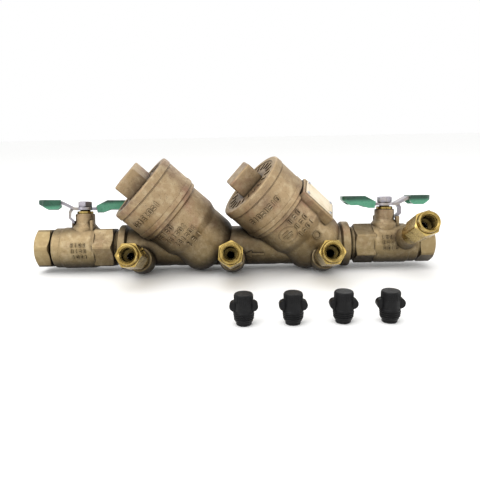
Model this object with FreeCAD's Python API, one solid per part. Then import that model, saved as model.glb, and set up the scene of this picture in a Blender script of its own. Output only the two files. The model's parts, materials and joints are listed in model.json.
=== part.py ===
"""Double-check backflow preventer: a one-piece bronze body with two inclined spring checks,
a quarter-turn ball valve at each end, four ball-type test cocks and four loose cock plugs.

Row frame: +X runs along the pipe from the outlet to the inlet, +Z is up off the surface the
device lies on, and -Y is the side the test cocks point to. Dimensions are in millimetres.
"""

import FreeCAD, Part
import math
import os

os.makedirs("parts", exist_ok=True)

Vector = FreeCAD.Vector
Placement = FreeCAD.Placement
Rotation = FreeCAD.Rotation

# Where the device lies
REST_HEIGHT = 21.0  # pipe axis above the surface
CENTRE_Y = 54.1  # pipe axis behind the middle of the footprint
BODY_ROLL = 12.0  # check covers lean towards -Y
INLET_ROLL = -7.0  # inlet stem leans towards +Y
OUTLET_ROLL = -12.0  # outlet stem leans towards +Y
GAP = 0.05  # between parts that are screwed or pressed together
RUN = 0.06  # radial running clearance of a turning or sliding part
SOFT = 0.3  # between a soft part and another body

# Pipe run
END_X = 175.5
NECK_R = 17.5
BORE_R = 12.3
CAST_END = 101.0
COLLAR_R = 19.8
NIPPLE_R = 13.2
NIPPLE_END = 116.5

# Check modules
CHECK_X = {"check1": 73.5, "check2": -20.5}
CHECK_TILT = -46.0  # turns +Z to the check axis, up and towards the outlet
CHAMBER_R = 29.5
CHAMBER_LOW_R = 27.0
CHAMBER_BORE_R = 24.0
COVER_THREAD_R = 25.6
SEAT_BORE_R = 20.0
POCKET_R = 15.0
SEAT_S = 5.0  # ledge under the seat ring
SEAT_TOP = 13.5
SEAM_S = 51.0
COVER_R = 32.5
COVER_FACE = 82.0
LUG_TOP = 97.0
LUG_SIDE = 23.4
LUG_TURN = {"check1": 14.0, "check2": 3.0}  # covers stop where their threads tighten
PAD_TURN = -12.0  # nameplate pad, turned towards -Y round the chamber
GUIDE_BORE_R = 4.06
SEAT_GROOVE_R = 18.0
SPRING_TOP = 70.9

# Ball valves, measured along the pipe from the middle of the body
VALVE_START = 105.5
STEM_X = 134.0
BALL_R = 13.2
PORT_R = 9.0
CAVITY_R = 14.0
BARREL_R = 17.3
JOINT_X = 159.9
HEX_AF = 31.0
HEX_LIMIT_R = 17.6
PIPE_THREAD_R = 12.25
BONNET_R = 8.5
BONNET_TOP = 30.2
STEM_R = 4.5
PLATE_Z = 33.7
PLATE_T = 2.3
WING_RISE = 5.2
ARM_START = 9.8
ARM_END = 19.5
WING_SPAN = 38.6
OUTLET_HANDLE_TURN = 18.0
OUTLET_BULK = 1.1

# Test cocks, measured along each cock's axis
COCK_X = {"testcock3": -80.0, "testcock2": -1.5, "testcock1": 76.5}
COCK_ROOT = (-3.06, -14.38)
COCK_ELEVATION = 32.2
COCK_BOSS_END = 32.0
COCK_MOUTH = 74.4
INLET_COCK_X = 148.6
INLET_COCK_ELEVATION = 19.0
COCK_THREAD_R = 5.9
COCK_TAP_R = 6.75
COCK_AF = 18.4
COCK_TWIST = {"testcock1": 0.0, "testcock2": 25.0, "testcock3": 0.0, "testcock4": 17.0}

# Loose plugs standing in front
PLUG_SPOTS = ((8.4, -129.4), (40.2, -128.9), (72.8, -127.6), (102.8, -127.8))
PLUG_HEIGHT = 21.0
EAR_SPAN = 18.5


# ---------------------------------------------------------------- shape helpers

def rounded_corner(before, point, after, radius):
    """The arc that rounds one corner of a profile, as (start, arc or None, end)."""
    if radius <= 0:
        return point, None, point
    to_before = (before - point).normalize()
    to_after = (after - point).normalize()
    half = to_before.getAngle(to_after) / 2
    reach = radius / math.tan(half)
    middle = (to_before + to_after).normalize()
    centre = point + middle * (radius / math.sin(half))
    start = point + to_before * reach
    end = point + to_after * reach
    return start, Part.Arc(start, centre - middle * radius, end), end


def turned(points):
    """A solid of revolution about Z from (radius, z[, corner radius]) points of its half section."""
    spots = [Vector(p[0], 0, p[1]) for p in points]
    radii = [p[2] if len(p) > 2 else 0.0 for p in points]
    count = len(spots)
    corners = [
        rounded_corner(spots[i - 1], spots[i], spots[(i + 1) % count], radii[i])
        for i in range(count)
    ]
    edges = []
    for i, (start, arc, end) in enumerate(corners):
        if arc is not None:
            edges.append(arc.toShape())
        following = corners[(i + 1) % count][0]
        if (following - end).Length > 1e-6:
            edges.append(Part.makeLine(end, following))
    face = Part.Face(Part.Wire(edges))
    return face.revolve(Vector(0, 0, 0), Vector(0, 0, 1), 360)


def rod(radius, low, high):
    """A cylinder about Z between two heights."""
    return Part.makeCylinder(radius, high - low, Vector(0, 0, low))


def tube(outer, inner, low, high):
    """A ring about Z between two heights."""
    return rod(outer, low, high).cut(rod(inner, low - 1, high + 1))


def block(size_x, size_y, low, high, centre=(0.0, 0.0)):
    """A box standing on its middle point between two heights."""
    corner = Vector(centre[0] - size_x / 2, centre[1] - size_y / 2, low)
    return Part.makeBox(size_x, size_y, high - low, corner)


def prism(sides, across_flats, low, high, twist=0.0, limit=None, chamfer=0.0):
    """A regular prism about Z with one corner at the twist angle, its corners turned to limit."""
    corner_r = across_flats / 2 / math.cos(math.pi / sides)
    ring = []
    for i in range(sides + 1):
        angle = math.radians(twist) + 2 * math.pi * i / sides
        ring.append(Vector(corner_r * math.cos(angle), corner_r * math.sin(angle), low))
    solid = Part.Face(Part.makePolygon(ring)).extrude(Vector(0, 0, high - low))
    top = limit or corner_r
    cut = top - across_flats / 2 + chamfer
    profile = [(0, low), (top - cut, low), (top, low + cut * 0.6)]
    profile += [(top, high - cut * 0.6), (top - cut, high), (0, high)]
    return solid.common(turned(profile))


def coil(radius, wire_r, low, high, turns):
    """A compression spring about Z with its wire ends at the two heights."""
    height = high - low - 2 * wire_r
    path = Part.makeLongHelix(height / turns, height, radius)
    path.translate(Vector(0, 0, low + wire_r))
    ring = Part.Wire(Part.makeCircle(wire_r, Vector(radius, 0, low + wire_r), Vector(0, 1, 0)))
    return Part.Wire(path.Edges).makePipeShell([ring], True, True)


def moved(shape, placement):
    """A copy of a shape carried by a placement."""
    copy = shape.copy()
    copy.Placement = placement.multiply(copy.Placement)
    return copy


def at(x=0.0, y=0.0, z=0.0, axis=(0, 0, 1), angle=0.0):
    """A placement from a position and one turn."""
    return Placement(Vector(x, y, z), Rotation(Vector(*axis), angle))


def fuse(shapes):
    """One solid from several that overlap."""
    return shapes[0].multiFuse(shapes[1:]).removeSplitter()


def along_x(shape):
    """A shape built along Z, laid along X."""
    return moved(shape, at(axis=(0, 1, 0), angle=90))


# ---------------------------------------------------------------- frames

BASE = Placement(Vector(0, CENTRE_Y, REST_HEIGHT), Rotation())
BODY = BASE.multiply(at(axis=(1, 0, 0), angle=BODY_ROLL))
VALVE = {
    "inlet": BASE.multiply(at(axis=(1, 0, 0), angle=INLET_ROLL)),
    "outlet": BASE.multiply(at(axis=(1, 0, 0), angle=OUTLET_ROLL)).multiply(at(angle=180)),
}


def check_place(name):
    """The frame of one check: Z along its axis, origin on the pipe axis."""
    return at(x=CHECK_X[name], axis=(0, 1, 0), angle=CHECK_TILT)


def cock_place(x, root, elevation):
    """The frame of one test cock: Z out of its mouth, X along the pipe."""
    return at(x=x, y=root[0], z=root[1], axis=(1, 0, 0), angle=90 - elevation)


# ---------------------------------------------------------------- casting

def chamber_outside():
    """Outside of one inclined check chamber, rounded at its lower end."""
    return turned([
        (0, -10.5),
        (CHAMBER_LOW_R, -10.5, 15.5),
        (CHAMBER_LOW_R, 20.0, 6.0),
        (CHAMBER_R, 27.0, 6.0),
        (CHAMBER_R, 46.6, 1.2),
        (31.4, 47.8, 0.8),
        (31.4, SEAM_S - GAP),
        (0, SEAM_S - GAP),
    ])


def chamber_inside():
    """Pocket under the seat, seat bore, spring chamber and cover thread of one check."""
    return turned([
        (0, -6.0),
        (POCKET_R, -6.0, 5.0),
        (POCKET_R, SEAT_S),
        (SEAT_BORE_R, SEAT_S),
        (SEAT_BORE_R, SEAT_TOP),
        (CHAMBER_BORE_R, SEAT_TOP, 2.0),
        (CHAMBER_BORE_R, 38.0),
        (COVER_THREAD_R, 38.8),
        (COVER_THREAD_R, SEAM_S + 2),
        (0, SEAM_S + 2),
    ])


def end_collar(side):
    """Thick collar and male pipe nipple at one end of the casting."""
    outline = turned([
        (0, 93.0),
        (NECK_R, 93.0),
        (COLLAR_R, 94.8, 1.0),
        (COLLAR_R, CAST_END, 1.0),
        (NIPPLE_R + 1.6, CAST_END, 0.6),
        (NIPPLE_R + 1.6, VALVE_START - GAP),
        (NIPPLE_R, VALVE_START - GAP),
        (NIPPLE_R, NIPPLE_END, 0.8),
        (0, NIPPLE_END),
    ])
    solid = along_x(outline)
    return solid if side > 0 else moved(solid, at(angle=180))


def cock_boss():
    """Cast boss that one test cock screws into."""
    return turned([
        (0, 6.0),
        (10.9, 6.0, 9.0),
        (11.6, 21.0, 3.0),
        (10.6, COCK_BOSS_END, 1.0),
        (0, COCK_BOSS_END),
    ])


def cock_passage(depth):
    """Tapped hole and feed passage of one test cock, down to a depth along its axis."""
    return rod(COCK_TAP_R, 20.0, COCK_BOSS_END + 3).fuse(rod(3.0, depth, 21.0))


def plate_pad():
    """Flat pad for the nameplate, on the upper side of the inlet check's chamber."""
    pad = block(9.0, 25.0, 14.5, 50.3, centre=(28.9, 0.0))
    pad = pad.makeFillet(1.4, [e for e in pad.Edges if e.BoundBox.XMin > 33.0])
    return moved(pad, at(angle=PAD_TURN))


def under_notch(check_x):
    """Hollow under the casting between a chamber's lower end and the neck beside it."""
    roll = Part.makeCylinder(7.6, 60.0, Vector(check_x - 32.6, 30.0, -20.8), Vector(0, -1, 0))
    return roll


def flow_arrow():
    """Raised arrow on the neck, pointing from inlet to outlet."""
    outline = [(-8.5, 0.0), (-2.5, 3.4), (-2.5, 1.2), (8.0, 1.2), (8.0, -1.2), (-2.5, -1.2), (-2.5, -3.4)]
    corners = [Vector(x, 0, z) for x, z in outline + outline[:1]]
    bar = Part.Face(Part.makePolygon(corners)).extrude(Vector(0, -4.0, 0))
    return moved(bar, at(x=18.0, y=-14.4))


def body_casting():
    """The whole bronze casting, bored through."""
    neck = along_x(rod(NECK_R, -CAST_END + 1, CAST_END - 1))
    outside = [neck]
    for name in CHECK_X:
        outside.append(moved(chamber_outside(), check_place(name)))
    solid = fuse(outside)
    for name in CHECK_X:
        solid = solid.cut(under_notch(CHECK_X[name]))
    extras = [solid, end_collar(1), end_collar(-1), flow_arrow()]
    for x in COCK_X.values():
        extras.append(moved(cock_boss(), cock_place(x, COCK_ROOT, COCK_ELEVATION)))
    extras.append(moved(plate_pad(), check_place("check1")))
    solid = fuse(extras)
    cuts = []
    cover_room = rod(COVER_R + GAP, SEAM_S - GAP, COVER_FACE)
    for name in CHECK_X:
        cuts.append(moved(chamber_inside().fuse(cover_room), check_place(name)))
    cuts.append(along_x(rod(BORE_R, CHECK_X["check1"], NIPPLE_END + 2)))
    cuts.append(along_x(rod(BORE_R, CHECK_X["check2"], CHECK_X["check1"] - 38.0)))
    cuts.append(along_x(rod(BORE_R, -NIPPLE_END - 2, CHECK_X["check2"] - 38.0)))
    for x in CHECK_X.values():
        cuts.append(along_x(rod(10.2, x - 40.0, x - 27.0)))
    for name, x in COCK_X.items():
        cuts.append(moved(cock_passage(3.0), cock_place(x, COCK_ROOT, COCK_ELEVATION)))
    for cut in cuts:
        solid = solid.cut(cut)
    return solid


# ---------------------------------------------------------------- check modules

def cover(turn):
    """Screwed cover: hollow cap with a raised rim, square lug, male thread and spring guide."""
    shell = turned([
        (0, 40.0),
        (COVER_THREAD_R - GAP, 40.0, 0.6),
        (COVER_THREAD_R - GAP, SEAM_S),
        (COVER_R - 0.6, SEAM_S),
        (COVER_R, SEAM_S + 0.8, 0.5),
        (COVER_R, SEAM_S + 4.4),
        (COVER_R - 0.5, SEAM_S + 4.8),
        (COVER_R - 0.5, 74.2),
        (COVER_R - 0.8, 74.6),
        (COVER_R - 0.8, 75.3),
        (COVER_R, 75.7),
        (COVER_R - 0.3, COVER_FACE, 1.8),
        (COVER_R - 5.2, COVER_FACE, 0.5),
        (COVER_R - 5.8, COVER_FACE - 1.0, 0.4),
        (0, COVER_FACE - 1.0),
    ])
    lug = block(LUG_SIDE, LUG_SIDE, COVER_FACE - 4, LUG_TOP)
    lug = lug.makeFillet(2.2, [e for e in lug.Edges if e.BoundBox.ZLength > 5])
    lug = lug.makeFillet(1.4, [e for e in lug.Edges if e.BoundBox.ZMin > LUG_TOP - 0.1])
    lug = moved(lug, at(angle=turn))
    bars = []
    for i in range(20):
        bar = block(6.6, 1.5, COVER_FACE - 1.5, COVER_FACE - 0.25, centre=(21.8, 0.0))
        bars.append(moved(bar, at(angle=18.0 * i + 9.0)))
    solid = fuse([shell, lug] + bars)
    hollow = turned([
        (GUIDE_BORE_R + 3.2, 39.0),
        (22.4, 39.0),
        (22.4, 68.0, 5.0),
        (GUIDE_BORE_R + 3.2, 72.5),
    ])
    guide = rod(GUIDE_BORE_R + 4, 39.0, 55.0)
    return solid.cut(hollow).cut(guide).cut(rod(GUIDE_BORE_R, 50.0, 86.0))


def cover_oring():
    """Square-section seal between the cover's shoulder and the chamber mouth."""
    return tube(COVER_THREAD_R - 0.2, COVER_THREAD_R - 2.2, 38.9, 39.9)


def seat_ring():
    """Seat ring with a raised lip, held in the seat bore."""
    return turned([
        (13.0, SEAT_S + GAP),
        (SEAT_BORE_R - GAP, SEAT_S + GAP, 0.4),
        (SEAT_BORE_R - GAP, SEAT_S + 2.6),
        (SEAT_GROOVE_R, SEAT_S + 2.6),
        (SEAT_GROOVE_R, SEAT_S + 4.7),
        (SEAT_BORE_R - GAP, SEAT_S + 4.7),
        (SEAT_BORE_R - GAP, SEAT_TOP - 1.6),
        (16.4, SEAT_TOP - 1.6),
        (15.4, SEAT_TOP, 0.2),
        (14.2, SEAT_TOP, 0.2),
        (13.0, SEAT_TOP - 2.0),
    ])


def seat_oring():
    """Round-section seal in the seat ring's groove."""
    section_r = (SEAT_BORE_R - SEAT_GROOVE_R) / 2 - GAP
    ring = Part.makeTorus(SEAT_GROOVE_R + GAP + section_r, section_r)
    ring.translate(Vector(0, 0, SEAT_S + 3.65))
    return ring


def poppet():
    """Poppet: disc holder with its guide stem."""
    low = SEAT_TOP + SOFT
    return turned([
        (0, low + 0.4),
        (8.0, low + 0.4),
        (8.0, low + 3.5),
        (17.4, low + 3.5),
        (17.4, low - 0.6 + 1.0),
        (18.9, low - 0.6 + 1.0, 0.3),
        (18.9, low + 6.4, 0.8),
        (8.6, low + 6.4),
        (8.6, low + 8.8, 0.6),
        (GUIDE_BORE_R - RUN, low + 8.8),
        (GUIDE_BORE_R - RUN, 71.0, 0.8),
        (0, 71.0),
    ])


def seal_disc():
    """Rubber disc in the poppet that closes on the seat lip."""
    low = SEAT_TOP + SOFT
    return tube(17.35, 8.05, low, low + 3.45)


def disc_retainer():
    """Washer and screw head that hold the rubber disc."""
    low = SEAT_TOP + SOFT
    washer = tube(11.0, 3.0, low - 2.0, low - GAP)
    core = rod(7.9, low - GAP, low + 0.35)
    head = prism(6, 8.0, low - 5.0, low - 1.9)
    return fuse([washer, core, head, rod(3.2, low - 2.0, low)])


def check_spring():
    """Spring from the poppet's back to the floor of the cover's hollow."""
    return coil(11.2, 0.9, SEAT_TOP + SOFT + 6.5, SPRING_TOP, 7)


# ---------------------------------------------------------------- ball valves

def stop_peg(angle):
    """One cast peg that stops the handle's tab."""
    peg = turned([(0, 10.0), (2.0, 10.0), (2.0, 24.2, 0.8), (0, 24.2)])
    reach = Vector(11.3, 0, 0)
    return moved(peg.translated(reach), at(angle=angle))


def valve_body(twist, handle_turn, bulk, with_cock):
    """Ball valve body: wrench hexagon, ball chamber, bonnet and stop pegs."""
    barrel_r = BARREL_R + bulk
    hexagon = along_x(prism(6, HEX_AF + 2 * bulk, VALVE_START, 124.4, twist, HEX_LIMIT_R + bulk, 0.5))
    barrel = along_x(turned([
        (0, 122.0),
        (barrel_r - 1.0, 122.0, 0.6),
        (barrel_r, 125.4, 1.0),
        (barrel_r, 151.0, 1.0),
        (barrel_r - 0.6, 152.6, 1.0),
        (barrel_r - 0.6, JOINT_X - GAP, 1.2),
        (0, JOINT_X - GAP),
    ]))
    to_stem = at(x=STEM_X)
    bonnet = turned([
        (0, 8.0),
        (12.6, 8.0),
        (11.4, 17.8, 2.0),
        (BONNET_R, 21.4, 2.0),
        (BONNET_R, BONNET_TOP, 0.7),
        (0, BONNET_TOP),
    ])
    pegs = [moved(stop_peg(a + handle_turn), to_stem) for a in (-28.0, 118.0)]
    parts = [hexagon, barrel, moved(bonnet, to_stem)] + pegs
    if with_cock:
        boss = turned([(0, 8.0), (10.4, 8.0), (8.9, 20.0, 3.0), (8.5, 31.0, 0.8), (0, 31.0)])
        parts.append(moved(boss, cock_place(INLET_COCK_X, (0, 0), INLET_COCK_ELEVATION)))
    solid = fuse(parts)
    cuts = [
        along_x(rod(barrel_r + 0.5, JOINT_X - GAP, JOINT_X + 6)),
        along_x(rod(NIPPLE_R + GAP, VALVE_START - 1, 117.2)),
        along_x(rod(PORT_R + 0.4, 117.0, 122.0)),
        along_x(rod(CAVITY_R, STEM_X - 13.2, STEM_X + 14.4)),
        along_x(rod(15.0, 148.0, JOINT_X + 1)),
        moved(rod(6.2, 9.0, 16.6), to_stem),
        moved(rod(STEM_R + RUN, 9.0, 32.0), to_stem),
        moved(rod(6.6, 23.0, 32.0), to_stem),
    ]
    if with_cock:
        passage = rod(COCK_TAP_R, 17.4, 34.0).fuse(rod(2.6, 12.0, 18.0))
        cuts.append(moved(passage, cock_place(INLET_COCK_X, (0, 0), INLET_COCK_ELEVATION)))
    for cut in cuts:
        solid = solid.cut(cut)
    return solid


def valve_end(twist, bulk, with_cock):
    """Screwed end piece with the female pipe thread's bore."""
    nose = rod(15.0 - GAP, 148.5, 162.0)
    collar = prism(6, HEX_AF - 0.4 + 2 * bulk, JOINT_X + 0.7, END_X, twist, HEX_LIMIT_R - 0.6 + bulk, 1.6)
    solid = along_x(fuse([nose, collar]))
    bore = turned([
        (0, 146.0),
        (PORT_R + 0.4, 146.0),
        (PORT_R + 0.4, 157.0),
        (PIPE_THREAD_R, 157.6),
        (PIPE_THREAD_R, END_X - 1.2),
        (PIPE_THREAD_R + 1.3, END_X + 0.1),
        (PIPE_THREAD_R + 1.3, END_X + 1),
        (0, END_X + 1),
    ])
    solid = solid.cut(along_x(bore))
    if with_cock:
        passage = rod(2.6, 6.0, 18.0)
        solid = solid.cut(moved(passage, cock_place(INLET_COCK_X, (0, 0), INLET_COCK_ELEVATION)))
    return solid


def ball():
    """Bored ball with the stem's slot on top."""
    solid = Part.makeSphere(BALL_R, Vector(STEM_X, 0, 0))
    solid = solid.cut(along_x(rod(PORT_R, STEM_X - 20, STEM_X + 20)))
    return solid.cut(block(4.2, 30.0, 10.3, 15.0, centre=(STEM_X, 0.0)))


def ball_seats():
    """The two soft seat rings beside the ball."""
    clear = Part.makeSphere(BALL_R + RUN, Vector(STEM_X, 0, 0))
    rings = []
    for low, high in ((STEM_X - 13.15, STEM_X - 6.2), (STEM_X + 6.2, STEM_X + 14.4)):
        ring = along_x(tube(CAVITY_R - GAP, PORT_R + 0.2, low, high))
        rings.append(ring.cut(clear))
    return Part.makeCompound(rings)


def valve_stem(handle_turn):
    """Stem with its tang in the ball, retaining shoulder, flats for the handle and threaded tip."""
    tang = block(4.0, 8.6, 10.4, 14.0)
    shaft = turned([
        (0, 13.5),
        (5.8, 13.5),
        (5.8, 16.2, 0.3),
        (STEM_R, 16.2),
        (STEM_R, PLATE_Z - GAP),
        (3.2, PLATE_Z - GAP),
        (3.2, 40.9, 0.6),
        (0, 40.9),
    ])
    flats = rod(STEM_R, PLATE_Z - 0.5, PLATE_Z + PLATE_T).common(
        block(6.6, 12.0, PLATE_Z - 1, PLATE_Z + PLATE_T + 1)
    )
    return moved(fuse([tang, shaft, moved(flats, at(angle=handle_turn))]), at(x=STEM_X))


def stem_packing():
    """Soft rings round the stem."""
    return moved(tube(6.55, STEM_R + RUN, 23.05, 26.9), at(x=STEM_X))


def gland():
    """Screwed gland that presses on the packing."""
    sleeve = tube(6.55, STEM_R + RUN + 0.02, 27.0, BONNET_TOP + 0.2)
    ring = prism(12, 14.0, BONNET_TOP + GAP, 32.6, 0.0, 7.1, 0.3)
    ring = ring.cut(rod(STEM_R + RUN + 0.02, 20, 40))
    return moved(fuse([sleeve, ring]), at(x=STEM_X))


def handle_section(points, width):
    """A strip of one width whose edge-on outline lies in the X-Z plane."""
    corners = [Vector(x, -width / 2, z) for x, z in points + points[:1]]
    return Part.Face(Part.makePolygon(corners)).extrude(Vector(0, width, 0))


def arm_line(lift, shift):
    """Edge-on line of one arm from its root to the wing's end, lifted and shifted along it."""
    low = PLATE_Z + lift
    return [(ARM_START + shift, low), (ARM_END + shift, low + WING_RISE), (36.4, low + WING_RISE)]


def handle_plate():
    """Stamped steel tee handle: level centre, two rising arms, level wings and a stop tab."""
    low, high = PLATE_Z, PLATE_Z + PLATE_T
    half_under = arm_line(0.0, 0.0)
    half_top = arm_line(PLATE_T, -0.9)
    outline = half_under + half_top[::-1]
    outline += [(-x, z) for x, z in half_top] + [(-x, z) for x, z in half_under[::-1]]
    strip = handle_section(outline, 12.6)
    hub = rod(8.6, low, high)
    tab = handle_section([
        (7.0, low), (10.4, low), (12.0, 31.2), (12.2, 27.2), (9.6, 24.8), (9.6, 22.0),
        (11.6, 22.0), (11.8, 23.9), (14.4, 26.4), (14.2, 32.2), (12.0, high), (7.0, high),
    ], 5.4)
    solid = fuse([strip, hub, tab])
    hole = rod(STEM_R + GAP, low - 1, high + 1).common(block(6.6 + 2 * GAP, 12.0, low - 1, high + 1))
    return solid.cut(hole)


def handle_nut():
    """Domed nut on the stem's tip."""
    low = PLATE_Z + PLATE_T + GAP
    nut = prism(6, 11.6, low, 41.4, 30.0, 6.5, 0.6)
    return nut.cut(rod(3.2 + GAP, low - 1, 41.0))


def wing_grip(inner):
    """Vinyl grip on one wing: a cap over the plate with two skirts; the inner one covers the arm."""
    low = PLATE_Z + WING_RISE
    top = low + PLATE_T + 1.1
    foot = low - 4.6
    start = 9.6 if inner else 20.2
    outline = [(WING_SPAN - 7.0, foot), (WING_SPAN, top - 3.4), (WING_SPAN, top), (19.0, top)]
    if inner:
        outline += [(start, PLATE_Z + PLATE_T + 1.3), (10.6, foot - 2.6), (16.0, foot - 2.6), (23.0, foot)]
    else:
        outline = outline[:3] + [(start, top), (start, foot + 2.4), (start + 3.0, foot)]
    solid = handle_section(outline, 17.0)
    across = [e for e in solid.Edges if e.BoundBox.XLength < 0.1 and e.BoundBox.ZLength < 0.1]
    tips = [e for e in across if e.BoundBox.XMin > 25]
    solid = solid.makeFillet(1.5, tips)
    plan = block(44.0, 17.0, foot - 4, top + 1, centre=(WING_SPAN - 22.0, 0))
    plan = plan.makeFillet(5.5, [e for e in plan.Edges if e.BoundBox.ZLength > 3 and e.BoundBox.XMin > 20])
    solid = solid.common(plan)
    under = [(x, z - 0.7) for x, z in arm_line(0.0, 0.0)]
    hollow = [(8.0, PLATE_Z - 0.7)] + under[:2] + [(36.0, low - 0.7), (36.0, 20.0), (8.0, 20.0)]
    slot = [(8.0, PLATE_Z - GAP)] + [(x, z - GAP) for x, z in arm_line(0.0, 0.0)[:2]]
    slot += [(36.4 + GAP, low - GAP), (36.4 + GAP, low + PLATE_T + GAP)]
    slot += [(x, z + GAP) for x, z in arm_line(PLATE_T, -0.9)[1::-1]] + [(8.0, PLATE_Z + PLATE_T + GAP)]
    solid = solid.cut(handle_section(hollow, 13.4))
    solid = solid.cut(handle_section(slot, 12.6 + 2 * GAP))
    return moved(solid, at(angle=180)) if inner else solid


def grips():
    """Both grips of one handle."""
    return Part.makeCompound([wing_grip(True), wing_grip(False)])


# ---------------------------------------------------------------- test cocks

def cock_body(twist, shift):
    """Test cock body: male thread, neck, hexagon and the female thread's mouth."""
    end = COCK_MOUTH - shift
    root = COCK_BOSS_END - shift
    outside = turned([
        (0, root - 9.5),
        (COCK_TAP_R - GAP, root - 9.5, 0.8),
        (COCK_TAP_R - GAP, root + 0.1),
        (8.4, root + 0.1, 0.5),
        (8.4, end - 29.0, 1.0),
        (0, end - 29.0),
    ])
    hexagon = prism(6, COCK_AF, end - 30.0, end - 4.4, twist, 10.4, 0.4)
    ring = turned([(0, end - 5.0), (8.5, end - 5.0, 0.4), (8.15, end, 0.7), (0, end)])
    solid = fuse([outside, hexagon, ring])
    bore = turned([
        (0, end + 1),
        (COCK_THREAD_R + 1.1, end + 1),
        (COCK_THREAD_R + 1.1, end - 0.1),
        (COCK_THREAD_R, end - 1.2),
        (COCK_THREAD_R, end - 12.5),
        (0, end - 14.5),
    ])
    ball_s = end - 21.0
    cuts = [bore, rod(3.0, root - 12, end - 10), rod(6.6, ball_s - 6.8, ball_s + 6.8)]
    turn = at(angle=twist + 30.0)
    side_bore = moved(rod(3.3 + RUN, 0, 14), at(axis=(0, 1, 0), angle=90))
    cuts.append(moved(moved(side_bore, turn), at(z=ball_s)))
    for cut in cuts:
        solid = solid.cut(cut)
    return solid


def cock_spindle(twist, shift):
    """Ball and slotted spindle of one test cock, in one piece."""
    ball_s = COCK_MOUTH - shift - 21.0
    sphere = Part.makeSphere(6.2)
    pin = moved(rod(3.3, 0, COCK_AF / 2 + 1.3), at(axis=(0, 1, 0), angle=90))
    slot = Part.makeBox(3.0, 1.1, 12.0, Vector(COCK_AF / 2, -0.55, -6.0))
    solid = sphere.fuse(pin).cut(slot)
    solid = moved(solid, at(angle=twist + 30.0)).cut(rod(2.9, -8, 8))
    return moved(solid, at(z=ball_s))


def cock_seats(shift):
    """Soft seats above and below a test cock's ball."""
    ball_s = COCK_MOUTH - shift - 21.0
    clear = Part.makeSphere(6.2 + RUN, Vector(0, 0, ball_s))
    rings = []
    for low, high in ((ball_s - 6.75, ball_s - 3.45), (ball_s + 3.45, ball_s + 6.75)):
        rings.append(tube(6.55, 3.0, low, high).cut(clear))
    return Part.makeCompound(rings)


# ---------------------------------------------------------------- plate and plugs

def nameplate():
    """Thin blank plate on the pad."""
    plate = block(0.7, 21.0, 17.0, 47.8, centre=(33.4 + GAP + 0.35, 0.0))
    return moved(plate, at(angle=PAD_TURN))


def plate_screws():
    """Four drive screws at the plate's corners."""
    heads = []
    for y in (-8.6, 8.6):
        for s in (19.2, 45.6):
            head = turned([(0, 0), (1.5, 0), (1.1, 0.8, 0.3), (0, 0.9)])
            head = moved(head, at(axis=(0, 1, 0), angle=90))
            heads.append(head.translated(Vector(34.15 + GAP, y, s)))
    return moved(Part.makeCompound(heads), at(angle=PAD_TURN))


def cock_plug():
    """Loose plug for a test cock: tapered threaded end, two rounded grip ears and a round head."""
    shank = turned([
        (0, 0),
        (5.0, 0, 0.6),
        (5.2, 2.2),
        (5.9, 2.7),
        (6.6, 9.0, 0.4),
        (6.1, 9.6),
        (6.1, PLUG_HEIGHT, 1.0),
        (0, PLUG_HEIGHT),
    ])
    middle, half = 12.7, 3.4
    bar = Part.makeBox(EAR_SPAN - 2 * half, 4.6, 2 * half, Vector(half - EAR_SPAN / 2, -2.3, middle - half))
    ends = [
        Part.makeCylinder(half, 4.6, Vector(x, -2.3, middle), Vector(0, 1, 0))
        for x in (EAR_SPAN / 2 - half, half - EAR_SPAN / 2)
    ]
    return fuse([shank, bar] + ends)


# ---------------------------------------------------------------- nodes

def save(name, shape):
    """Writes one node's STEP file and says how big it is."""
    solids = shape.Solids
    valid = all(s.isValid() for s in solids)
    target = solids[0] if len(solids) == 1 else Part.makeCompound(solids)
    target.exportStep("parts/%s.step" % name)
    box = shape.BoundBox
    print(
        "%-22s solids %d valid %s volume %9.1f  x %.1f..%.1f y %.1f..%.1f z %.1f..%.1f"
        % (name, len(solids), valid, shape.Volume, box.XMin, box.XMax, box.YMin, box.YMax, box.ZMin, box.ZMax)
    )


def save_checks():
    """Cover, seals, seat, poppet and spring of both checks."""
    pieces = {
        "cover_oring": cover_oring(),
        "seat": seat_ring(),
        "seat_oring": seat_oring(),
        "poppet": poppet(),
        "seal_disc": seal_disc(),
        "disc_retainer": disc_retainer(),
        "spring": check_spring(),
    }
    for check in CHECK_X:
        frame = BODY.multiply(check_place(check))
        save(check + "_cover", moved(cover(LUG_TURN[check]), frame))
        for piece, shape in pieces.items():
            save("%s_%s" % (check, piece), moved(shape, frame))


def save_valves():
    """Both ball valves with their handles."""
    for valve, frame in VALVE.items():
        inlet = valve == "inlet"
        turn = 0.0 if inlet else OUTLET_HANDLE_TURN
        bulk = 0.0 if inlet else OUTLET_BULK
        twist = 0.0 if inlet else 30.0
        on_stem = at(x=STEM_X, angle=turn)
        pieces = {
            "valve_body": valve_body(twist, turn, bulk, inlet),
            "valve_end": valve_end(twist, bulk, inlet),
            "ball": ball(),
            "ball_seats": ball_seats(),
            "stem": valve_stem(turn),
            "stem_packing": stem_packing(),
            "gland": gland(),
            "handle": moved(handle_plate(), on_stem),
            "handle_nut": moved(handle_nut(), on_stem),
            "grips": moved(grips(), on_stem),
        }
        for piece, shape in pieces.items():
            save("%s_%s" % (valve, piece), moved(shape, frame))


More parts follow.
